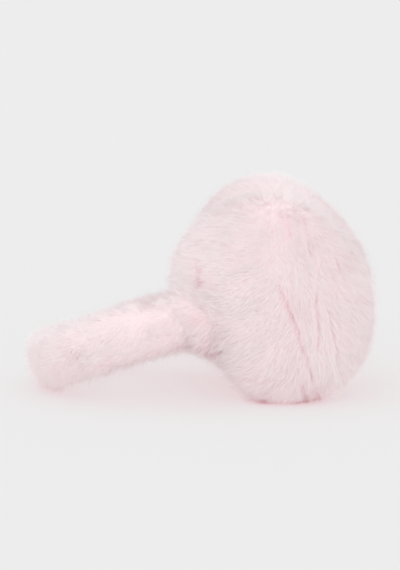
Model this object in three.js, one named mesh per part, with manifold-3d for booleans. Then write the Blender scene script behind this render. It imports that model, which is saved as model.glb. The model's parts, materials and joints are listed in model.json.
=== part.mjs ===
// Fur earmuffs lying on their side: two round fur ear pads on a sprung, fur-covered headband.
// Each solid is the outer form of the fur. Millimetres, +Z up; the surface they lie on is Z = 0,
// +X runs from the crown of the headband to the pads, and Y from ear to ear.
import * as THREE from 'three';
import { mergeVertices } from 'three/addons/utils/BufferGeometryUtils.js';
import Module from 'manifold-3d';

const wasm = await Module();
wasm.setup();

const DEGREE = Math.PI / 180;

// Headband: a round arc of oval section that runs on straight into the pads.
const BAND_RADIUS = 64;          // of the centre line
const BAND_THICKNESS = 23;       // front to back of the fur roll
const BAND_WIDTH_CROWN = 38;     // at the middle of the headband
const BAND_WIDTH_PADS = 36;      // where it enters the pads
const BAND_STRAIGHT = 22;        // from the arc to the rim of each pad
const BAND_TAIL = 24;            // on into each pad
const SPLAY = 9 * DEGREE;        // how far each pad turns in towards the other one

// Ear pads, each measured from the middle of its rim.
const PAD_HALF_LENGTH = 59;      // along the headband
const PAD_HALF_WIDTH = 66.5;     // across the headband
const PAD_CROWN = 36;            // rim to the outer face
const PAD_BACK = 24;             // rim to the inner face
const PAD_RIM_INSET = 13;        // rim plane to the headband's centre line
const EAR_FACE_RADIUS = 36;      // the flat round face against the ear
const OUTER_FULLNESS = 2.3;      // exponent of the crown's curve; 2 is an ellipse
const INNER_FULLNESS = 2.6;

// How they lie.
const LEAN = 16.7 * DEGREE;      // the headband slopes down from the pads to the surface
const PAD_FLATTENED = 4;         // height that each pad loses where it rests
const BAND_ROLL = -3.2 * DEGREE; // turn of the headband about its length, far side down
const GAP = 0.3;                 // between a pad and the headband in it

// The outline of a pad departs from its oval in a few broad swells, each a row of
// direction (0 points away from the headband, 90 up), half spread, and height.
const SLUMPED = [
  { towards: 138, spread: 26, height: 5 },    // lobe above the headband
  { towards: 214, spread: 20, height: -8 },   // hollow below the headband
  { towards: 310, spread: 30, height: 3 },    // lower far corner
  { towards: 35, spread: 30, height: -3 },    // upper far corner
];
const UPRIGHT = [
  { towards: 214, spread: 20, height: -6 },
  { towards: 96, spread: 28, height: 2.4 },
  { towards: 35, spread: 30, height: -3.5 },
];

// One pad has slumped a little; the other is fuller, and its middle sits higher by its lift.
const PADS = [
  { name: 'ear_pad_right', side: -1, lift: 0, swells: SLUMPED },
  { name: 'ear_pad_left', side: 1, lift: 3, swells: UPRIGHT },
];

// How finely the curves are faceted.
const PAD_ROUND_STEPS = 48;
const PAD_RINGS = 30;
const FLAT_RINGS = 5;            // rings from the inner pole that make the flat ear face
const BAND_STEPS = 76;
const BAND_SIDES = 20;
const SURFACE_BLOCK = 600;       // size of the block that cuts what would sink below Z = 0

const FUR = { color: '#f0dfdf', roughness: 0.95, metalness: 0 };

/** Distance from the middle of a pad to its rim, towards an angle in radians. */
function rimRadius(angle, swells) {
  let radius = 1 / Math.hypot(Math.cos(angle) / PAD_HALF_LENGTH, Math.sin(angle) / PAD_HALF_WIDTH);
  for (const { towards, spread, height } of swells) {
    const turn = angle / DEGREE - towards;
    const away = turn - 360 * Math.round(turn / 360);
    radius += height * Math.exp(-((away / spread) ** 2));
  }
  return radius;
}

/** Moves every vertex of a geometry with a function that changes a Vector3 in place. */
function reshape(geometry, move) {
  const places = geometry.attributes.position;
  const place = new THREE.Vector3();
  for (let i = 0; i < places.count; i += 1) {
    place.fromBufferAttribute(places, i);
    move(place);
    places.setXYZ(i, place.x, place.y, place.z);
  }
  return geometry;
}

/** Closed manifold solid of a geometry, from its positions alone. */
function toSolid(geometry) {
  geometry.deleteAttribute('normal');
  geometry.deleteAttribute('uv');
  const merged = mergeVertices(geometry);
  const mesh = new wasm.Mesh({
    numProp: 3,
    vertProperties: new Float32Array(merged.attributes.position.array),
    triVerts: new Uint32Array(merged.index.array),
  });
  return new wasm.Manifold(mesh);
}

/** Named mesh of a solid, in the fur's colour. */
function toMesh(solid, name) {
  const { vertProperties, triVerts } = solid.getMesh();
  const geometry = new THREE.BufferGeometry();
  geometry.setAttribute('position', new THREE.BufferAttribute(vertProperties, 3));
  geometry.setIndex(new THREE.BufferAttribute(triVerts, 1));
  geometry.computeVertexNormals();
  const mesh = new THREE.Mesh(geometry, new THREE.MeshStandardMaterial(FUR));
  mesh.name = name;
  return mesh;
}

/** Centre line of the headband: a straight tail, the arc over the head, and a straight tail. */
class HeadbandLine extends THREE.Curve {
  constructor(tail) {
    super();
    this.sweep = Math.PI + 2 * SPLAY;
    this.arcLength = this.sweep * BAND_RADIUS;
    this.straight = BAND_STRAIGHT + tail;
    this.fullLength = this.arcLength + 2 * this.straight;
  }

  getPoint(t, target = new THREE.Vector3()) {
    const travelled = t * this.fullLength - this.straight;
    const onArc = THREE.MathUtils.clamp(travelled, 0, this.arcLength);
    const angle = onArc / BAND_RADIUS - this.sweep / 2;
    const beyond = travelled - onArc;
    target.set(-Math.cos(angle) * BAND_RADIUS, Math.sin(angle) * BAND_RADIUS, 0);
    target.x += Math.sin(angle) * beyond;
    target.y += Math.cos(angle) * beyond;
    return target;
  }
}

/** The fur roll of the headband, grown all round, and at its ends, by a margin. */
function headbandGeometry(margin) {
  const section = new THREE.Shape();
  section.absellipse(0, 0, BAND_WIDTH_CROWN / 2 + margin, BAND_THICKNESS / 2 + margin, 0, 2 * Math.PI);
  const roll = new THREE.ExtrudeGeometry(section, {
    extrudePath: new HeadbandLine(BAND_TAIL + margin),
    steps: BAND_STEPS,
    curveSegments: BAND_SIDES / 2,
    bevelEnabled: false,
  });
  const padsX = Math.sin(SPLAY) * BAND_RADIUS;
  return reshape(roll, (place) => {
    const nearPads = THREE.MathUtils.smoothstep(place.x, -BAND_RADIUS, padsX);
    place.z *= THREE.MathUtils.lerp(1, BAND_WIDTH_PADS / BAND_WIDTH_CROWN, nearPads);
  }).rotateX(BAND_ROLL);
}

/** Where the middle of a pad's rim lies: side is -1 for the pad at -Y and 1 for the other. */
function padMatrix({ side, lift }) {
  const tailX = Math.sin(SPLAY) * BAND_RADIUS;
  const tailY = Math.cos(SPLAY) * BAND_RADIUS;
  const reach = BAND_STRAIGHT + PAD_HALF_LENGTH;
  const middle = new THREE.Vector3(
    tailX + reach * Math.cos(SPLAY) - PAD_RIM_INSET * Math.sin(SPLAY),
    side * (tailY - reach * Math.sin(SPLAY) - PAD_RIM_INSET * Math.cos(SPLAY)),
    lift,
  );
  const turn = new THREE.Quaternion().setFromAxisAngle(new THREE.Vector3(0, 0, 1), -side * SPLAY);
  const fuller = 1 + lift / PAD_HALF_WIDTH;
  return new THREE.Matrix4().compose(middle, turn, new THREE.Vector3(fuller, 1, fuller));
}

/** A quarter of a superellipse: how far out and how high it is, at a swing of 0 to 1 from its top. */
function roundedQuarter(swing, fullness) {
  const angle = Math.min(swing, 1) * Math.PI / 2;
  return { out: Math.sin(angle) ** (2 / fullness), up: Math.max(Math.cos(angle), 0) ** (2 / fullness) };
}

/** The crowned outer half of a pad: distance from its axis and height above its rim. */
function outerProfile(fromPole, rim) {
  const { out, up } = roundedQuarter(fromPole, OUTER_FULLNESS);
  return { radius: rim * out, height: PAD_CROWN * up };
}

/** The back of a pad: the flat ear face, then a round edge out to the rim. */
function backProfile(fromPole, rim) {
  const flatShare = FLAT_RINGS / (PAD_RINGS / 2);
  const pastFlat = (fromPole - flatShare) / (1 - flatShare);
  if (Math.round(pastFlat * PAD_RINGS) <= 0) {
    return { radius: EAR_FACE_RADIUS * fromPole / flatShare, height: PAD_BACK };
  }
  const { out, up } = roundedQuarter(pastFlat, INNER_FULLNESS);
  return { radius: EAR_FACE_RADIUS + (rim - EAR_FACE_RADIUS) * out, height: PAD_BACK * up };
}

/** A full rounded pad, from a ball whose poles become the middles of its two faces. */
function padGeometry(pad) {
  const ball = new THREE.SphereGeometry(1, PAD_ROUND_STEPS, PAD_RINGS);
  reshape(ball, (place) => {
    const angle = Math.atan2(place.z, place.x);
    const rim = rimRadius(angle, pad.swells);
    const fromPole = Math.acos(Math.min(Math.abs(place.y), 1)) / (Math.PI / 2);
    const profile = pad.side * place.y > 0 ? outerProfile : backProfile;
    const { radius, height } = profile(fromPole, rim);
    place.set(radius * Math.cos(angle), Math.sign(place.y) * height, radius * Math.sin(angle));
  });
  return ball.applyMatrix4(padMatrix(pad));
}

/** A block whose top face is the surface that the earmuffs lie on, in the headband's frame. */
function surfaceBlock(lyingGroup) {
  const block = new THREE.BoxGeometry(SURFACE_BLOCK, SURFACE_BLOCK, SURFACE_BLOCK);
  block.translate(0, 0, -SURFACE_BLOCK / 2);
  return block.applyMatrix4(lyingGroup.matrix.clone().invert());
}

// The lying group turns the worn shape over onto the surface, at the height where the pads rest.
const lying = new THREE.Group();
lying.rotation.y = -LEAN;
const padLow = Math.hypot(PAD_HALF_LENGTH * Math.sin(LEAN), PAD_HALF_WIDTH * Math.cos(LEAN));
const padMiddle = new THREE.Vector3().setFromMatrixPosition(padMatrix({ side: 1, lift: 0 }));
lying.position.z = padLow - PAD_FLATTENED - padMiddle.x * Math.sin(LEAN);
lying.updateMatrix();

const surface = toSolid(surfaceBlock(lying));
const socket = toSolid(headbandGeometry(GAP));
const headband = toSolid(headbandGeometry(0)).subtract(surface);
lying.add(toMesh(headband, 'headband'));
for (const pad of PADS) {
  const solid = toSolid(padGeometry(pad)).subtract(surface).subtract(socket);
  lying.add(toMesh(solid, pad.name));
}

// The origin is under the middle of the bounding box.
const earmuffs = new THREE.Group();
earmuffs.add(lying);
earmuffs.updateMatrixWorld(true);
const extent = new THREE.Box3().setFromObject(earmuffs, true);
lying.position.x = -(extent.min.x + extent.max.x) / 2;
lying.position.y = -(extent.min.y + extent.max.y) / 2;

export default earmuffs;
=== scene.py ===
# Looks of the fur earmuffs: two padded ear pads and a padded headband under a deep pink pile.
# The pile is real: every hair is a thin tapering ribbon, rooted in the padding and combed.
import json
import math
from collections import namedtuple

import bmesh
import bpy
import numpy as np
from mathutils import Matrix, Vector


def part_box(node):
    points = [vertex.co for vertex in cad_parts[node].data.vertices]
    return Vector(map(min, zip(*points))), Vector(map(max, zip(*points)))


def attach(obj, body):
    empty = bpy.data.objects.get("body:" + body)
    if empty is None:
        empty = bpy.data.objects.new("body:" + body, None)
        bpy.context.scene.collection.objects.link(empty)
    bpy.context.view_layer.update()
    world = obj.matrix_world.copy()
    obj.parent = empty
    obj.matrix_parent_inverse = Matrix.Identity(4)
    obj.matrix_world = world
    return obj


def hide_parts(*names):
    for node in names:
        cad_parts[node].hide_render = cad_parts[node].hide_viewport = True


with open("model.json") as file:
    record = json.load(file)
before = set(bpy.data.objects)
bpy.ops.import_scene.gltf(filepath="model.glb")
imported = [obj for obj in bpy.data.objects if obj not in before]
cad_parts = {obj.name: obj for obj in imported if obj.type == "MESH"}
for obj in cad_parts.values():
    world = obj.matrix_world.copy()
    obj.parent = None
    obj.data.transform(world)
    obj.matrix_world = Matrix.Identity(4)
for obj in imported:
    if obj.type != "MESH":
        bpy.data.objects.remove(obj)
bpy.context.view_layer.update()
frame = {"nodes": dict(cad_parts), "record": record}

MM = 0.001

# ---- the studio, in metres and degrees ----
ROOM_SHADE = 0.847       # brightness of the room's walls
ROOM_LIGHT = 0.88        # even light that falls in from all round
KEY_LIGHT = 1.75         # strength of the broad lamp
KEY_SPREAD = 80          # and how wide it looks
KEY_PLACE = (0.1, -1.6, 0.2)
KEY_RINGS = 60           # its disc is added up in this many rings
KEY_TURNS = 90           # and in this many places on each
TABLE_FACE = "#61a09a"   # the light table's own colour
GROUND_REACH = 80.0      # from the earmuffs to the table's edges
CAMERA_AZIMUTH = 5.0     # from the side view, towards the pads
CAMERA_DISTANCE = 0.880
CAMERA_HEIGHT = 0.165
CAMERA_TARGET = (-0.0003, 0.0, 0.0659)
CAMERA_SENSOR = 36       # millimetres, as is the next
CAMERA_LENS = 88.5

# ---- the padding; from here on, sizes are in millimetres unless a name says otherwise ----
PAD_BACK = 24            # from the middle of a pad's rim to its flat ear face
WELD = 0.01              # corners of a solid closer than this are one
EVEN_FACE = 4.5          # faces of the padding before it is blown up
DRAW_STEP = 0.5          # the padding is drawn in under the pile in steps of this
DRAW_RELAX = 0.05        # share of the way to its neighbours that a point relaxes after each
PUFF_PRESSURE = 4.0
PUFF_FRAMES = 20
PUFF_CAP = 1.5           # the most that a point of the padding may move
BAND_FULL = 4.0          # the headband's roll stands this much fuller on top, part of the way along
FULL_PLACE = 0.40        # from its crown to the middle of the pads, at this share of the way
FULL_SPREAD = 0.175      # and over this share of it
SEAM_DEPTH = -1.2        # of the padding where a pad meets the headband: it presses outwards
SEAM_NEAR = 1.5          # the padding is fully pressed out up to this far from the seam
SEAM_FAR = 7.0           # and lies at its full depth from here on

# ---- the pile ----
# One kind of pile: hair length, its spread, how far hairs rise at root and tip in degrees,
# hair width, tuft spacing, how much tips gather to their tuft, waviness of a hair and of the
# combing, the depth of the padding below the fur's outer form, and the height above the surface
# it rests on up to which the pile is painted deeper in tone, as painted contact shadow.
Pile = namedtuple(
    "Pile", "length uneven rise_root rise_tip width tuft gather wave stray depth pressed"
)
PAD_PILE = Pile(6.6, 0.08, 57, 23, 0.19, 2.6, 0.03, 0.30, 0.08, 4.1, 3.8)
BAND_PILE = Pile(6.4, 0.10, 58, 25, 0.19, 3.0, 0.12, 0.50, 0.20, 4.1, 6.0)

PAD_HAIRS = 90000        # on each of the two pieces of fur on a pad
BAND_HAIRS = 52000       # on each of the two pieces of fur on the headband
HAIR_BEND = 0.46         # a hair is widest here, as a share of its length
HAIR_LEVELS = np.array([0.0, HAIR_BEND, 1.0])   # its root, bend and tip
HAIR_WIDTHS = (0.75, 1.25)   # finest and coarsest, as shares of the pile's hair width
HAIR_TURN = 0.6          # the most that a hair's flat side turns from the surface, in radians
WAVE_TURN = 3.6          # of a hair's sideways wave from root to tip, in radians
SKIN_SHARE = 0.4         # of the skin's normal in a hair's shading
MAP_MARGIN = 0.02        # a hair's map keeps this far from the edges
MAP_HALF = 0.006         # and is this wide to each side of its tone

GUARD_SHARE = 0.16       # of the hairs stand further out than the rest
GUARD_REACH = 1.45       # and are longer by this
GUARD_RISE = 20          # and steeper by this, in degrees
GUARD_WIDTH = 0.6        # and finer by this

TUFT_TURN = 2.3          # tufts turn one way over about this many tuft spacings
HAIR_STRAY = 0.5         # single hairs stray from the nap by this share of what tufts do
TUFT_LENGTH = 0.10       # spread of the hair length from tuft to tuft, as a share
TUFT_RISE = 10           # and of how far hairs rise, in degrees
HAIR_RISE = 7            # spread of how far single hairs rise, in degrees
FINE_TUFT = 1.1          # spacing of the finest tufts, inside the larger ones
FINE_GATHER = 0.22       # how much tips gather to these
GATHER_GROWTH = 1.5      # the gathering grows with this power of the way along a hair

SEAM_PILE = 1.2          # how long the pile is at the seam, as a share of its length
SEAM_LEAN = 0.6          # how strongly a pad's pile leans over the headband at the seam
FLOOR_CLEARANCE = 0.25   # hairs lie this far above the surface at the least
FLOOR_UNEVEN = 2         # and up to this many times that further
FLOOR_ROUNDING = 0.35    # square of the height over which they round off onto it

# A hair's tone, from 0 in the deepest folds to 1, where low tones are mostly painted shade: its
# mean, and what shifts it, both random spreads and painted light and shade.
TONE_MEAN = 0.62
TONE_HAIR = 0.10         # spread from hair to hair
TONE_TUFT = 0.10         # from tuft to tuft
TONE_FINE = 0.14         # from one of the finest tufts to the next
TONE_PATCH = 0.05        # and from patch to patch
PATCH_SPACING = 30.0
CREASE_SHADE = 0.50       # painted shade: how much deeper in tone the pile is in a full crease
SEAM_SHADE = 0.14         # painted shade at the seam between a pad and the headband
SEAM_SHADE_FALL = 4            # the painted seam shade falls off with this power of the nearness to it
CONTACT_SHADE = 0.62         # painted contact shadow: how much deeper in tone the pile is at the surface that it rests on
TOP_LIGHT = 0.10          # painted top light: the pile is this much paler where it faces up

# ---- the nap ----
# The nap of a pad's outer face runs two ways: towards the headband on one side and down the
# pad on the other, along its rim, and turns from one to the other over a wide stretch.
TURN_PLACE = 6.0         # middle of that stretch, along the pad, at its mid height
TURN_SLANT = 0.18        # how far it moves out per mm downwards
TURN_WIDTH = 70.0
NAP_TO_BAND = 186        # degrees from the pad's far end, turning upwards
NAP_DOWN = 290
NAP_ROUND = 0.35         # degrees that each turns to follow the rim, per mm of height
NAP_EAR = 262            # on the flat of the ear side
SWAY_SPACING = 24.0      # of the broad swaying of the nap
SWAY_SHIFT = 3.0         # which shifts the stretch where it turns
SWAY_TURN = 12           # and turns the nap by this many degrees
CURL_SPACING = 7.0       # of the small curls that unsettle the nap
CURL = 0.11              # and their strength
RIM_ALONG = 1.3          # how strongly the nap parts along the top of the rim
RIM_BACK = 0.3           # how strongly it is brushed back over the rim, where it is

# Where on a pad these hold. Facing is 1 where the skin faces out from the ear, 0 on the rim and
# -1 on the ear side, and each pair says where something starts and where it is whole.
OUTER_FACE = (0.1, 0.4)      # facing of the panel that has creases
RIM_BAND = (-0.5, -0.1)      # facing behind the rim where the nap parts, and mirrored before it
TOP_OF_RIM = (0.3, 0.8)      # how far up the rim, from 0 at the pad's mid height to 1
CARRY_OVER = (-0.3, 0.3)     # how far the nap runs out across the rim, to be carried over it
EAR_FROM = 0.30              # facing towards the ear where the ear side's nap starts
EAR_FROM_CARRIED = 0.45      # and this much later where the nap is carried over the rim
EAR_BLEND = 0.2

# Creases where the pile has opened: both ends as (along, up) from the middle of the pad, half
# width, and depth from 0 to 1. The depth also sets how much painted shade lies in a crease.
Crease = namedtuple("Crease", "start end width depth")
SLUMPED_CREASES = [
    Crease((6, 51), (8, 41), 0.9, 0.54),
    Crease((15, 49), (20, 31), 0.8, 0.48),
    Crease((4, 14), (8, 4), 1.0, 0.60),
    Crease((8, 4), (14, -11), 1.1, 0.60),
    Crease((14, -11), (20, -28), 1.0, 0.60),
    Crease((20, -28), (23, -42), 0.8, 0.42),
    Crease((24, 8), (26, -23), 0.8, 0.48),
    Crease((-34, -43), (-3, -43), 0.8, 0.42),
    Crease((30, 0), (38, -34), 0.7, 0.30),
    Crease((32, 34), (40, 10), 0.7, 0.30),
    Crease((-41, 25), (-40, 13), 1.0, 0.75),
    Crease((-40, 13), (-43, 4), 1.0, 0.50),
    Crease((-56, 5), (-45, 1), 1.0, 0.55),
    Crease((-45, 1), (-41, 4), 1.0, 0.50),
    Crease((-45, -31), (-28, -26), 1.0, 0.80),
    Crease((18, -46), (21, -54), 1.6, 0.55),
    Crease((25, -45), (27, -53), 1.4, 0.45),
]
UPRIGHT_CREASES = [
    Crease((2, 44), (7, 22), 0.9, 0.54),
    Crease((8, 16), (15, -14), 1.0, 0.60),
    Crease((15, -14), (24, -40), 0.9, 0.48),
    Crease((26, 22), (30, -10), 0.8, 0.42),
    Crease((-30, -38), (-6, -36), 0.8, 0.42),
]
CREASE_REACH = 2.4       # how far from a crease its hairs lean away
CREASE_PUSH = 0.5        # and how strongly
CREASE_SHORT = 0.35      # how much shorter hairs are in a full crease, as a share
CREASE_FLAT = 14         # and how much flatter their tips lie, in degrees

BAND_DOWN = 0.2          # how far the headband's nap runs down as it runs along
BAND_SWIRL = 0.40        # how strong the swirls in it are
SWIRL_SPACING = 17.0


# ---- small helpers ----
def unit(vectors):
    """Vectors of length one, along the last axis."""
    length = np.linalg.norm(vectors, axis=-1, keepdims=True)
    return vectors / np.maximum(length, 1e-12)


def smooth(low, high, values):
    """0 below low, 1 above high, and an even S between them."""
    share = np.clip((values - low) / (high - low), 0.0, 1.0)
    return share * share * (3.0 - 2.0 * share)


def linear(hex_colour):
    """Scene-linear RGBA of an sRGB hex colour."""
    channels = [int(hex_colour[i:i + 2], 16) / 255 for i in (1, 3, 5)]
    return [c / 12.92 if c <= 0.04045 else ((c + 0.055) / 1.055) ** 2.4 for c in channels] + [1.0]


def node(tree, kind, settings=None, inputs=None):
    """Adds a shader node, sets its properties, and sets or links its inputs by name or number."""
    made = tree.nodes.new(kind)
    for name, value in (settings or {}).items():
        setattr(made, name, value)
    for name, value in (inputs or {}).items():
        if isinstance(value, bpy.types.NodeSocket):
            tree.links.new(value, made.inputs[name])
        else:
            made.inputs[name].default_value = value
    return made


def new_material(name):
    """An empty node material, and its tree."""
    material = bpy.data.materials.new(name)
    material.use_nodes = True
    material.node_tree.nodes.clear()
    return material, material.node_tree


def new_object(name, mesh, material):
    """An object at the origin, in the scene, with a mesh and its one material."""
    made = bpy.data.objects.new(name, mesh)
    bpy.context.scene.collection.objects.link(made)
    made.data.materials.clear()
    made.data.materials.append(material)
    return made


def ripple(points, wavelength, seed):
    """Smooth vector noise: for each of three components, a few sine waves of about that
    wavelength in seeded directions and phases, added up to a spread of about one."""
    waves = 6
    rng = np.random.default_rng(seed)
    total = np.zeros((len(points), 3))
    for component in range(3):
        for _ in range(waves):
            direction = unit(rng.normal(size=3)) * (2 * math.pi / wavelength) * rng.uniform(0.6, 1.4)
            total[:, component] += np.sin(points @ direction + rng.uniform(0, 2 * math.pi))
    return total / math.sqrt(waves / 2)


def nearest_tuft(points, spacing, seed):
    """The nearest of a set of tuft centres, one at a seeded random place in each cell of a cubic
    grid of that spacing, looked for in the 27 cells round each point; and a random number of
    that tuft from 0 to 1. The random numbers are a hash of the cell: its three counts and the
    seed times large primes, added up, then stirred once for each number by a shift, a product
    and a mask."""
    cell_primes, seed_prime = np.array([73856093, 19349663, 83492791]), 2654435761
    stir_prime, mask = 1274126177, 0x7FFFFFFF
    cells = np.floor(points / spacing).astype(np.int64)
    best = np.full(len(points), np.inf)
    centre = np.zeros_like(points)
    number = np.zeros(len(points))
    for shift in np.ndindex(3, 3, 3):
        cell = cells + (np.array(shift) - 1)
        mixed = (cell * cell_primes).sum(1) + seed * seed_prime
        spots = []
        for _ in range(4):
            mixed = (mixed ^ (mixed >> 13)) * stir_prime & mask
            spots.append(mixed / mask)
        place = (cell + np.stack(spots[:3], axis=1)) * spacing
        away = ((place - points) ** 2).sum(1)
        closer = away < best
        best = np.where(closer, away, best)
        centre = np.where(closer[:, None], place, centre)
        number = np.where(closer, spots[3], number)
    return centre, number


# ---- how the pieces lie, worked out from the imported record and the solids' boxes ----
Lie = namedtuple("Lie", "middle out along up")
mounts = {mount["name"]: mount for mount in frame["record"]["mounts"]}


def pad_lie(mount_name):
    """Middle of a pad's rim and its directions: out from the ear, along the headband away from
    the crown, and up across the pad."""
    inward = np.array(mounts[mount_name]["axis"], float)
    middle = np.array(mounts[mount_name]["pos_m"], float) / MM - inward * PAD_BACK
    slope = unit(np.array([-inward[0], 0.0, -inward[2]]))
    up = np.array([-slope[2], 0.0, slope[0]])
    along = unit(slope - (slope @ inward) * inward)
    return Lie(middle, -inward, along, up)


RIGHT = pad_lie("ear_face_right")
LEFT = pad_lie("ear_face_left")
BAND_SLOPE = unit(RIGHT.along * [1, 0, 1])
BAND_ACROSS = np.array([0.0, 1.0, 0.0])
BAND_UP = RIGHT.up
SPLAY = math.asin(min(abs(RIGHT.along[1]), 1.0))


def band_middle():
    """Middle of the headband's arc: as far up the slope from the crown as the arc is wide to
    each side, and on the slope that runs through the middles of the pads."""
    low, high = (np.array(corner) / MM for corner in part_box("headband"))
    middle_x = low[0] + (high[1] - low[1]) / 2 * BAND_SLOPE[0]
    fall = (RIGHT.middle[0] - middle_x) / BAND_SLOPE[0]
    return np.array([middle_x, 0.0, RIGHT.middle[2] - fall * BAND_SLOPE[2]])


BAND_MIDDLE = band_middle()


# ---- materials ----
def pile_material(name, root_hex, body_hex, tip_hex, deep_and_shade_hex, darkest_shade_hex):
    """Modacrylic fur pile: matt hairs that let light through, so the pile glows softly. Low tones
    mix to a deeper pink, which carries random tone and the painted shade of creases and the seam,
    and the lowest to a dark pink, painted shadow where the pile meets the surface it rests on and
    in the deepest creases. The hair's own map gives its tone across and root to tip upwards."""
    body_place, light_through = 0.45, 0.5
    deep_and_shade_tones, darkest_shade_tones = (0.0, 0.6), (0.03, 0.22)
    material, tree = new_material(name)
    spot = node(tree, "ShaderNodeUVMap", {"uv_map": "OFBake"})
    parts = node(tree, "ShaderNodeSeparateXYZ", inputs={0: spot.outputs["UV"]})
    growth = node(tree, "ShaderNodeValToRGB", inputs={"Fac": parts.outputs["Y"]})
    stops = growth.color_ramp.elements
    stops[0].position, stops[0].color = 0.0, linear(root_hex)
    stops[1].position, stops[1].color = 1.0, linear(tip_hex)
    stops.new(body_place).color = linear(body_hex)
    colour = growth.outputs["Color"]
    # low tones mix to the deep pink, random tone and painted shade, and the lowest to the darkest
    # painted shade
    for (below, above), shade_hex in ((deep_and_shade_tones, deep_and_shade_hex), (darkest_shade_tones, darkest_shade_hex)):
        share = node(
            tree, "ShaderNodeMapRange", {"interpolation_type": "SMOOTHSTEP"},
            {"Value": parts.outputs["X"], "From Min": below, "From Max": above,
             "To Min": 1.0, "To Max": 0.0},
        )
        mixed = node(
            tree, "ShaderNodeMix", {"data_type": "RGBA", "blend_type": "MIX"},
            {0: share.outputs["Result"], 6: colour, 7: linear(shade_hex)},
        )
        colour = mixed.outputs[2]
    matt = node(
        tree, "ShaderNodeBsdfPrincipled",
        inputs={"Base Color": colour, "Roughness": 0.62, "IOR": 1.49,
                "Specular IOR Level": 0.25},
    )
    through = node(tree, "ShaderNodeBsdfTranslucent", inputs={"Color": colour})
    both = node(
        tree, "ShaderNodeMixShader",
        inputs={0: light_through, 1: matt.outputs["BSDF"], 2: through.outputs["BSDF"]},
    )
    node(tree, "ShaderNodeOutputMaterial", inputs={"Surface": both.outputs["Shader"]})
    return material


def backing_material(name, base_hex, deep_and_shade_hex):
    """Knitted backing of the pile, packed with hair roots: a soft, matt, slightly mottled pink
    that shows only where the pile opens. Its grain is the spacing of the roots' bundles."""
    root_spacing, root_height, mottle_size = 0.8, 0.4, 9
    material, tree = new_material(name)
    place = node(tree, "ShaderNodeTexCoord")
    grain, mottle = (
        node(
            tree, "ShaderNodeTexNoise",
            inputs={"Vector": place.outputs["Object"], "Scale": 1 / (size * MM), "Detail": 2.0},
        )
        for size in (root_spacing, mottle_size)
    )
    colour = node(
        tree, "ShaderNodeMix", {"data_type": "RGBA"},
        {0: mottle.outputs["Fac"], 6: linear(base_hex), 7: linear(deep_and_shade_hex)},
    )
    bump = node(
        tree, "ShaderNodeBump",
        inputs={"Height": grain.outputs["Fac"], "Strength": 0.5, "Distance": root_height * MM},
    )
    matt = node(
        tree, "ShaderNodeBsdfPrincipled",
        inputs={"Base Color": colour.outputs[2], "Roughness": 0.9, "Specular IOR Level": 0.1,
                "Normal": bump.outputs["Normal"]},
    )
    node(tree, "ShaderNodeOutputMaterial", inputs={"Surface": matt.outputs["BSDF"]})
    return material


def key_fall():
    """Share of the key's light that falls on a level surface: the mean over the lamp's disc,
    ring by ring, of the sine of its height above the horizon, where it is above it."""
    height = math.asin(KEY_PLACE[2] / math.dist(KEY_PLACE, (0, 0, 0)))
    edge = math.radians(KEY_SPREAD / 2)
    ring, turn = np.meshgrid(
        (np.arange(KEY_RINGS) + 0.5) / KEY_RINGS * edge,
        (np.arange(KEY_TURNS) + 0.5) / KEY_TURNS * 2 * math.pi,
    )
    sine = np.cos(ring) * math.sin(height) + np.sin(ring) * math.cos(height) * np.sin(turn)
    total = (np.maximum(sine, 0) * np.sin(ring)).mean() * edge * 2 * math.pi
    return total / (math.pi * math.sin(edge) ** 2)


def light_table_material(name):
    """Frosted acrylic of a light table. Its cool face takes the room's light and a warm glow
    from below makes up the rest of a neutral pale grey, so shadows on it stay faint and rosy."""
    material, tree = new_material(name)
    fallen = ROOM_LIGHT + KEY_LIGHT / math.pi * key_fall()
    glow = [ROOM_SHADE - face * fallen for face in linear(TABLE_FACE)[:3]]
    matt = node(
        tree, "ShaderNodeBsdfPrincipled",
        inputs={"Base Color": linear(TABLE_FACE), "Roughness": 1.0, "Specular IOR Level": 0.0,
                "Emission Color": glow + [1.0], "Emission Strength": 1.0},
    )
    node(tree, "ShaderNodeOutputMaterial", inputs={"Surface": matt.outputs["BSDF"]})
    return material


# ---- padding ----
def arrays_of(mesh):
    """Points in millimetres, and triangles, of a mesh."""
    points = np.zeros(len(mesh.vertices) * 3)
    mesh.vertices.foreach_get("co", points)
    mesh.calc_loop_triangles()
    triangles = np.zeros(len(mesh.loop_triangles) * 3, np.int64)
    mesh.loop_triangles.foreach_get("vertices", triangles)
    return points.reshape(-1, 3) / MM, triangles.reshape(-1, 3)


def put_points(mesh, points):
    """Moves a mesh's points to places given in millimetres."""
    mesh.vertices.foreach_set("co", (points * MM).ravel())
    mesh.update()


def point_normals(points, triangles):
    """Area-weighted normal at each point."""
    a, b, c = (points[triangles[:, i]] for i in range(3))
    faces = np.cross(b - a, c - a)
    total = np.zeros_like(points)
    for corner in range(3):
        np.add.at(total, triangles[:, corner], faces)
    return unit(total)


def relaxed(points, edges, share):
    """Each point moved a share of the way to the mean of its neighbours."""
    total = np.zeros_like(points)
    count = np.zeros(len(points))
    for here, there in ((0, 1), (1, 0)):
        np.add.at(total, edges[:, here], points[edges[:, there]])
        np.add.at(count, edges[:, here], 1)
    return points + share * (total / count[:, None] - points)


def apply_modifiers(piece):
    """Puts the mesh of a piece with its modifiers done in place of both."""
    graph = bpy.context.evaluated_depsgraph_get()
    mesh = bpy.data.meshes.new_from_object(piece.evaluated_get(graph))
    piece.modifiers.clear()
    piece.data = mesh


def seam_share(points, node_name):
    """0 at the seams between the pads and the headband, rising to 1 away from them, by the
    distance to the nearest corner of the solids on the other side of the seam."""
    others = ["ear_pad_right", "ear_pad_left"] if node_name == "headband" else ["headband"]
    corners = np.concatenate([arrays_of(frame["nodes"][other].data)[0] for other in others])
    corners = np.unique(corners.round(2), axis=0)
    away = ((points ** 2).sum(1)[:, None] + (corners ** 2).sum(1) - 2 * points @ corners.T).min(1)
    return smooth(SEAM_NEAR, SEAM_FAR, np.sqrt(np.maximum(away, 0.0)))


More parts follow.
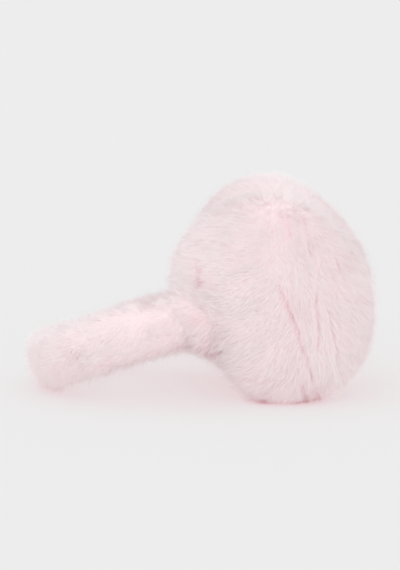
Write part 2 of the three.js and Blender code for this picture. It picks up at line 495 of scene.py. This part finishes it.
def draw_in(piece, depth):
    """The padding lies under the pile: points move in along their normals in small steps, and
    relax a little after each, so sharp lips round off."""
    points, triangles = arrays_of(piece.data)
    edges = np.zeros(len(piece.data.edges) * 2, np.int64)
    piece.data.edges.foreach_get("vertices", edges)
    edges = edges.reshape(-1, 2)
    step = DRAW_STEP * depth / depth.max()
    for _ in range(round(depth.max() / DRAW_STEP)):
        points = points - step[:, None] * point_normals(points, triangles)
        points = relaxed(points, edges, DRAW_RELAX)
    put_points(piece.data, points)


def puff_up(piece):
    """Blows the padding up as a cloth skin under pressure, so that it is round and taut, and
    keeps each point within a cap of where it was."""
    before, _ = arrays_of(piece.data)
    cloth = piece.modifiers.new("puff", "CLOTH")
    cloth.settings.use_pressure = True
    cloth.settings.uniform_pressure_force = PUFF_PRESSURE
    cloth.settings.effector_weights.gravity = 0.0
    cloth.settings.quality = 6
    cloth.point_cache.frame_end = PUFF_FRAMES
    for step in range(1, PUFF_FRAMES + 1):
        bpy.context.scene.frame_set(step)
    apply_modifiers(piece)
    bpy.context.scene.frame_set(1)
    after, _ = arrays_of(piece.data)
    moved = after - before
    moved -= moved.mean(axis=0)
    far = np.linalg.norm(moved, axis=1, keepdims=True)
    put_points(piece.data, before + moved * np.minimum(1.0, PUFF_CAP / np.maximum(far, 1e-9)))


def fuller_top(piece):
    """Where the headband's roll is fuller, from 0 to 1: a bell along its length, times how far
    the skin faces up across the roll."""
    points, triangles = arrays_of(piece.data)
    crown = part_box("headband")[0][0] / MM
    share = (points[:, 0] - crown) / (RIGHT.middle[0] - crown)
    bell = np.exp(-(((share - FULL_PLACE) / FULL_SPREAD) ** 2))
    return bell * (point_normals(points, triangles) @ BAND_UP).clip(0, 1)


def padding(name, node_name, pile, material, full=0.0):
    """Padded form under the pile of one solid: even faces, drawn in, puffed up, one subdivision."""
    piece = new_object(name, frame["nodes"][node_name].data.copy(), material)
    welded = bmesh.new()
    welded.from_mesh(piece.data)
    bmesh.ops.remove_doubles(welded, verts=welded.verts, dist=WELD * MM)
    welded.to_mesh(piece.data)
    welded.free()
    remesh = piece.modifiers.new("even_faces", "REMESH")
    remesh.mode = "VOXEL"
    remesh.voxel_size = EVEN_FACE * MM
    apply_modifiers(piece)
    points, _ = arrays_of(piece.data)
    free = seam_share(points, node_name)
    draw_in(piece, SEAM_DEPTH + (pile.depth - SEAM_DEPTH) * free - full * fuller_top(piece))
    puff_up(piece)
    rounder = piece.modifiers.new("rounder", "SUBSURF")
    rounder.levels = 1
    rounder.render_levels = 1
    apply_modifiers(piece)
    piece.data.name = name
    piece.data.materials.clear()
    piece.data.materials.append(material)
    piece.data.shade_smooth()
    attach(piece, "root")
    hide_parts(node_name)
    return piece


# ---- nap ----
def crease_effect(flat, creases):
    """For points on a pad's plane: a push away from nearby creases, and how deep in one it is.
    The push and the depth fall off as a bell with the distance from the crease's line."""
    push = np.zeros_like(flat)
    depth = np.zeros(len(flat))
    for crease in creases:
        start, end = np.array(crease.start, float), np.array(crease.end, float)
        run = end - start
        share = np.clip(((flat - start) @ run) / (run @ run), 0, 1)
        off = flat - (start + share[:, None] * run)
        far = np.linalg.norm(off, axis=1)
        push += off / np.maximum(far, 1e-6)[:, None] * (
            crease.depth * np.exp(-((far / CREASE_REACH) ** 2)))[:, None]
        depth = np.maximum(depth, crease.depth * np.exp(-((far / crease.width) ** 2)))
    return push, depth


def panel_flow(flat, sway):
    """Nap of a pad's outer panel, and how far over it has turned from the headband's way to the
    way down, from 0 to 1. Both ways turn a little with the height, as the rim does."""
    beyond = flat[:, 0] - TURN_PLACE + TURN_SLANT * flat[:, 1] + SWAY_SHIFT * sway[:, 0]
    beyond = smooth(-0.5, 0.5, beyond / TURN_WIDTH)
    to_band = NAP_TO_BAND + NAP_ROUND * np.maximum(flat[:, 1], 0)
    down = NAP_DOWN + NAP_ROUND * np.minimum(flat[:, 1], 0)
    angle = np.radians(to_band + (down - to_band) * beyond + SWAY_TURN * sway[:, 1])
    return np.stack([np.cos(angle), np.zeros(len(flat)), np.sin(angle)], axis=1), beyond


def over_the_rim(flow, from_axis, facing, over, out):
    """A panel's nap taken on round the rim, and how far it is carried over, from 0 to 1. Its
    part along the rim stays all the way round. Its part across the rim is carried over without
    a parting: it turns with the skin, by the cosine and sine of the angle that the skin has
    turned by. Only where that part runs in from the rim, and over is 0, it is brushed back over
    the rim instead, and fades on the panel."""
    across = (flow * from_axis).sum(1)
    carried = over + (1 - over) * smooth(*CARRY_OVER, across)
    sine = np.sqrt(1 - facing.clip(-1, 1) ** 2)
    stays = across * (carried * facing + (1 - carried) * facing.clip(0, 1) - 1)
    goes_back = carried * across * sine + (1 - carried) * RIM_BACK * np.abs(across) * sine ** 3
    return flow + stays[:, None] * from_axis - goes_back[:, None] * out, carried


def pad_nap(lie, creases, over, seed):
    """Combing of a pad: for roots and normals, the nap's direction and the crease depth.
    It is the outer panel's nap, taken on round the rim. Along the top of the rim it parts to
    both sides. On the flat of the ear side it runs down. Small curls unsettle it, it leans away
    from creases, and at the seam it leans over the headband."""
    ear = np.array([math.cos(math.radians(NAP_EAR)), 0.0, math.sin(math.radians(NAP_EAR))])

    def nap(roots, normals):
        offset = roots - lie.middle
        flat = np.stack([offset[:, 0], offset[:, 2]], axis=1)
        facing = normals @ lie.out
        from_axis = unit(offset - (offset @ lie.out)[:, None] * lie.out)
        flow, beyond = panel_flow(flat, ripple(roots, SWAY_SPACING, seed))
        way, carried = over_the_rim(flow, from_axis, facing, over, lie.out)
        along_rim = np.cross(lie.out, from_axis) * np.sign(lie.out[1])
        top = smooth(*TOP_OF_RIM, from_axis[:, 2]) * smooth(*RIM_BAND, facing)
        top = top * smooth(*RIM_BAND, -facing)
        way = way + (RIM_ALONG * (2 * beyond - 1) * top)[:, None] * along_rim
        ear_from = EAR_FROM + EAR_FROM_CARRIED * carried
        way = way + smooth(ear_from, ear_from + EAR_BLEND, -facing)[:, None] * (ear - way)
        way = way + CURL * ripple(roots, CURL_SPACING, seed + 5)
        push, depth = crease_effect(flat, creases)
        face = smooth(*OUTER_FACE, facing)
        push = CREASE_PUSH * push * face[:, None]
        way = way + np.stack([push[:, 0], np.zeros(len(roots)), push[:, 1]], axis=1)
        free = seam_share(roots, "ear_pad")
        way = way - SEAM_LEAN * (1 - free)[:, None] * BAND_SLOPE
        return way, depth * face
    return nap


def band_nap(seed):
    """Combing of the headband: one way round the arc, a little down, with swirls and curls, and
    no creases."""
    def nap(roots, normals):
        offset = roots - BAND_MIDDLE
        turn = np.arctan2(offset[:, 1], -(offset @ BAND_SLOPE))
        turn = np.clip(turn, -math.pi / 2 - SPLAY, math.pi / 2 + SPLAY)
        way = np.sin(turn)[:, None] * BAND_SLOPE + np.cos(turn)[:, None] * BAND_ACROSS
        swirl = ripple(roots, SWIRL_SPACING, seed)
        curl = ripple(roots, CURL_SPACING, seed + 5)
        way = way - BAND_DOWN * BAND_UP + BAND_SWIRL * swirl + CURL * curl
        return way, np.zeros(len(roots))
    return nap


# ---- pile ----
# What is settled of each hair before it is shaped: the skin's normal, how far it is from the
# seams and how deep in a crease, the numbers of its two tufts, and whether it is a guard hair.
Growth = namedtuple("Growth", "normals free crease tuft_number fine_number guard")


def roots_on(piece, count, rng):
    """Root points and skin normals of hairs spread evenly by area over a padded piece."""
    points, triangles = arrays_of(piece.data)
    normals = point_normals(points, triangles)
    a, b, c = (points[triangles[:, i]] for i in range(3))
    area = np.linalg.norm(np.cross(b - a, c - a), axis=1)
    pick = rng.choice(len(triangles), size=count, p=area / area.sum())
    first, second = rng.random(count), rng.random(count)
    beyond = first + second > 1
    first[beyond], second[beyond] = 1 - first[beyond], 1 - second[beyond]
    shares = np.stack([1 - first - second, first, second], axis=1)[:, :, None]
    roots = (points[triangles[pick]] * shares).sum(axis=1)
    return roots, unit((normals[triangles[pick]] * shares).sum(axis=1))


def hair_arcs(growth, pile, rng):
    """How far each hair has gone along the nap, and up from the skin, at its root, bend and tip.
    A hair leaves the skin steeply and bends over to lie along the nap: its angle above the skin
    falls evenly from root to tip, so its height and reach are the integrals of that angle's sine
    and cosine. Guard hairs are longer and steeper, hairs in a crease shorter and flatter, and
    what lifts a tip lifts the root half as much."""
    count = len(growth.guard)
    tuft = growth.tuft_number - 0.5
    length = pile.length * (1 + pile.uneven * rng.normal(size=count).clip(-2, 2))
    length *= 1 + TUFT_LENGTH * tuft
    length *= np.where(growth.guard, GUARD_REACH, 1.0) * (1 - CREASE_SHORT * growth.crease)
    length *= SEAM_PILE + (1 - SEAM_PILE) * growth.free
    lift = rng.normal(size=count).clip(-2, 2) * HAIR_RISE + TUFT_RISE * tuft
    steeper = np.where(growth.guard, GUARD_RISE, 0)
    rise_root = np.radians(pile.rise_root + lift * 0.5 + steeper)
    rise_tip = np.radians(pile.rise_tip + lift + steeper - CREASE_FLAT * growth.crease)
    bend = rise_tip - rise_root
    bend = np.where(np.abs(bend) < 1e-3, 1e-3, bend)
    angle = rise_root[:, None] + bend[:, None] * HAIR_LEVELS
    reach = length[:, None] * (np.sin(angle) - np.sin(rise_root)[:, None]) / bend[:, None]
    height = -length[:, None] * (np.cos(angle) - np.cos(rise_root)[:, None]) / bend[:, None]
    return reach, height


def kept_off_floor(lines, rng):
    """Hairs that would pass through the surface below lie on it instead. Above a seeded
    clearance, a height becomes half the sum of itself and the root of its own square and the
    rounding, so a low one levels off and a high one stays."""
    low = FLOOR_CLEARANCE * (1 + FLOOR_UNEVEN * rng.random(len(lines)))[:, None]
    above = lines[:, :, 2] - low
    lines[:, :, 2] = low + 0.5 * (above + np.sqrt(above ** 2 + FLOOR_ROUNDING))
    return lines


def hair_tones(roots, lines, growth, pile, rng, seed):
    """Tone of each hair, from 0 in the deepest folds to 1: random spreads, painted shade in creases,
    at the seam and at the resting surface, and painted top light.
    """
    patch = ripple(roots, PATCH_SPACING, seed + 3)[:, 0]
    tone = TONE_MEAN + TONE_HAIR * rng.normal(size=len(roots))
    tone += TONE_TUFT * (growth.tuft_number - 0.5) + TONE_FINE * (growth.fine_number - 0.5)
    # random tone from patch to patch, and painted shade in the creases
    tone += TONE_PATCH * patch - CREASE_SHADE * growth.crease
    # painted top light: paler where the skin faces up
    tone += TOP_LIGHT * growth.normals[:, 2].clip(0, 1)
    # painted shade at the seam between a pad and the headband
    tone -= SEAM_SHADE * (1 - growth.free) ** SEAM_SHADE_FALL
    # painted contact shadow: deeper in tone low down, where the pile meets the surface it rests on
    tone -= CONTACT_SHADE * (1 - smooth(0.0, pile.pressed, lines[:, 1:, 2].mean(axis=1)))
    return tone.clip(MAP_MARGIN, 1 - MAP_MARGIN)


def hair_lines(roots, normals, free, nap, pile, rng, seed):
    """Root, bend and tip of each hair, its tone, and its width.
    A hair follows the nap, a little astray with its tuft and by itself. Its tip is drawn to the
    middle of its tuft, large and fine, and it waves a little sideways."""
    count = len(roots)
    way, crease = nap(roots, normals)
    way = way + pile.stray * rng.normal(size=(count, 3)) * HAIR_STRAY
    centre, tuft_number = nearest_tuft(roots, pile.tuft, seed)
    fine_centre, fine_number = nearest_tuft(roots, FINE_TUFT, seed + 1)
    way = way + pile.stray * ripple(centre, pile.tuft * TUFT_TURN, seed + 2)
    way = unit(way - (way * normals).sum(1)[:, None] * normals)
    side = np.cross(normals, way)

    guard = rng.random(count) < GUARD_SHARE
    growth = Growth(normals, free, crease, tuft_number, fine_number, guard)
    reach, height = hair_arcs(growth, pile, rng)
    phase = rng.uniform(0, 2 * math.pi, count)
    swing = pile.wave * np.sin(phase[:, None] + HAIR_LEVELS * WAVE_TURN) * HAIR_LEVELS
    lines = roots[:, None, :] + way[:, None, :] * reach[:, :, None]
    lines = lines + normals[:, None, :] * height[:, :, None] + side[:, None, :] * swing[:, :, None]
    for middle, strength in ((centre, pile.gather), (fine_centre, FINE_GATHER)):
        pull = middle - roots
        pull = pull - (pull * normals).sum(1)[:, None] * normals
        lines = lines + strength * pull[:, None, :] * (HAIR_LEVELS ** GATHER_GROWTH)[None, :, None]

    lines = kept_off_floor(lines, rng)
    tone = hair_tones(roots, lines, growth, pile, rng, seed)
    width = pile.width * rng.uniform(*HAIR_WIDTHS, count) * np.where(guard, GUARD_WIDTH, 1.0)
    return lines, tone, width


def hair_mesh(name, lines, normals, tone, width, rng):
    """Each hair is a kite of two triangles, pointed at its root and tip and widest where it
    bends, turned by a random part about its length but never facing in. Its map has the hair's
    tone across and its length up. Its shading normals lean towards the skin's, so that the pile
    shades as one soft surface."""
    count = len(lines)
    heading = unit(lines[:, 2] - lines[:, 0])
    across = unit(np.cross(heading, normals))
    face = np.cross(across, heading)
    turn = rng.uniform(-HAIR_TURN, HAIR_TURN, count)[:, None]
    across = across * np.cos(turn) + face * np.sin(turn)
    face = np.cross(across, heading)
    half = width[:, None] / 2
    points = np.stack(
        [lines[:, 0], lines[:, 1] - across * half, lines[:, 1] + across * half, lines[:, 2]], axis=1
    )
    corners = np.array([0, 2, 1, 1, 2, 3])
    loops = (np.arange(count)[:, None] * 4 + corners).ravel()
    mesh = bpy.data.meshes.new(name)
    mesh.vertices.add(count * 4)
    mesh.vertices.foreach_set("co", (points * MM).ravel())
    mesh.loops.add(len(loops))
    mesh.loops.foreach_set("vertex_index", loops.astype(np.int32))
    mesh.polygons.add(count * 2)
    mesh.polygons.foreach_set("loop_start", np.arange(0, len(loops), 3, dtype=np.int32))
    mesh.update(calc_edges=True)

    corner_sides = np.array([0, -1, 1, 0])
    corner_heights = np.array([MAP_MARGIN, HAIR_BEND, HAIR_BEND, 1 - MAP_MARGIN])
    spots = np.zeros((count, len(corners), 2))
    spots[:, :, 0] = tone[:, None] * (1 - 2 * MAP_MARGIN) + MAP_MARGIN
    spots[:, :, 0] += corner_sides[corners] * MAP_HALF
    spots[:, :, 1] = corner_heights[corners]
    hair_map = mesh.uv_layers.new(name="OFBake")
    hair_map.data.foreach_set("uv", spots.ravel().astype(np.float32))

    shading = unit(SKIN_SHARE * normals + (1 - SKIN_SHARE) * face)
    mesh.shade_smooth()
    mesh.normals_split_custom_set_from_vertices(np.repeat(shading, 4, axis=0))
    return mesh


def fur(name, piece, node_name, count, pile, nap, material, seed):
    """One share of the pile on a padded piece."""
    rng = np.random.default_rng(seed)
    roots, normals = roots_on(piece, count, rng)
    free = seam_share(roots, node_name)
    lines, tone, width = hair_lines(roots, normals, free, nap, pile, rng, seed)
    made = new_object(name, hair_mesh(name, lines, normals, tone, width, rng), material)
    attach(made, "root")
    return made


# ---- camera, light and ground ----
def look(position, target):
    """Rotation of a camera or lamp at a position that faces a target."""
    return (Vector(target) - Vector(position)).to_track_quat("-Z", "Y").to_euler()


def make_camera():
    """A long lens, a little round from the side view and a little above the earmuffs."""
    azimuth = math.radians(CAMERA_AZIMUTH)
    target = Vector(CAMERA_TARGET)
    camera = bpy.data.objects.new("camera", bpy.data.cameras.new("camera"))
    bpy.context.scene.collection.objects.link(camera)
    camera.location = (
        target.x + CAMERA_DISTANCE * math.sin(azimuth),
        -CAMERA_DISTANCE * math.cos(azimuth),
        CAMERA_HEIGHT,
    )
    camera.rotation_euler = look(camera.location, target)
    camera.data.sensor_width = CAMERA_SENSOR
    camera.data.lens = CAMERA_LENS
    bpy.context.scene.camera = camera


def make_ground(material):
    """A flat light table that runs far past the view on every side."""
    points = [(x, y, 0.0) for x, y in ((-1, -1), (1, -1), (1, 1), (-1, 1))]
    mesh = bpy.data.meshes.new("ground")
    mesh.from_pydata((np.array(points) * GROUND_REACH).tolist(), [], [(0, 1, 2, 3)])
    mesh.update()
    new_object("ground", mesh, material)


def make_lights():
    """A pale room with even light from all round, and a very broad lamp in front of the
    earmuffs, a little above them. The room's walls look a little darker than the light that
    comes from them."""
    world = bpy.data.worlds.new("studio")
    bpy.context.scene.world = world
    world.use_nodes = True
    tree = world.node_tree
    tree.nodes.clear()
    path = node(tree, "ShaderNodeLightPath")
    strength = node(
        tree, "ShaderNodeMapRange",
        inputs={"Value": path.outputs["Is Camera Ray"], "To Min": ROOM_LIGHT, "To Max": ROOM_SHADE},
    )
    background = node(
        tree, "ShaderNodeBackground",
        inputs={"Color": (1.0, 1.0, 1.0, 1.0), "Strength": strength.outputs["Result"]},
    )
    node(tree, "ShaderNodeOutputWorld", inputs={"Surface": background.outputs["Background"]})
    lamp = bpy.data.lights.new("key", "SUN")
    lamp.energy = KEY_LIGHT
    lamp.angle = math.radians(KEY_SPREAD)
    made = bpy.data.objects.new("key", lamp)
    made.location = KEY_PLACE
    made.rotation_euler = look(KEY_PLACE, (0.0, 0.0, 0.0))
    bpy.context.scene.collection.objects.link(made)


# ---- the making ----
make_camera()
make_ground(light_table_material("frosted_acrylic"))
make_lights()
bpy.context.scene.view_settings.view_transform = "Standard"

backing = backing_material("knitted_backing", "#fef3f4", "#fbe8ea")
# the last two colours of each pile: a deep pink for random tone and painted crease and seam shade,
# and a dark pink for painted contact shadow and the deepest creases
pad_fur = pile_material(
    "modacrylic_pad_pile", "#fef4f5", "#fffafb", "#fffcfc", "#f7dade", "#c98489")
band_fur = pile_material(
    "modacrylic_band_pile", "#fdf2f3", "#fef9fa", "#fefbfb", "#f6dadd", "#c98489")

# A pad's label, node, lie, creases, how far its nap is carried over the rim where it runs in
# from it, and seed. The pad at the right ear has slumped, and its nap is brushed back there.
PADS = [
    ("right", "ear_pad_right", RIGHT, SLUMPED_CREASES, 0.0, 11),
    ("left", "ear_pad_left", LEFT, UPRIGHT_CREASES, 1.0, 23),
]
BAND_SEED = 37
SHARES = 2               # pieces of fur on each padded piece
SHARE_SEED = 100         # the next share's seed is this much higher

for label, node_name, lie, creases, over, seed in PADS:
    pad = padding(f"pad_{label}_padding", node_name, PAD_PILE, backing)
    for index in range(SHARES):
        fur(
            f"pad_{label}_fur_{index + 1}", pad, node_name, PAD_HAIRS, PAD_PILE,
            pad_nap(lie, creases, over, seed), pad_fur, seed + SHARE_SEED * index,
        )
band = padding(
    "headband_padding", "headband", BAND_PILE, backing, BAND_FULL)
for index in range(SHARES):
    fur(
        f"headband_fur_{index + 1}", band, "headband", BAND_HAIRS, BAND_PILE,
        band_nap(BAND_SEED), band_fur, BAND_SEED + SHARE_SEED * index,
    )
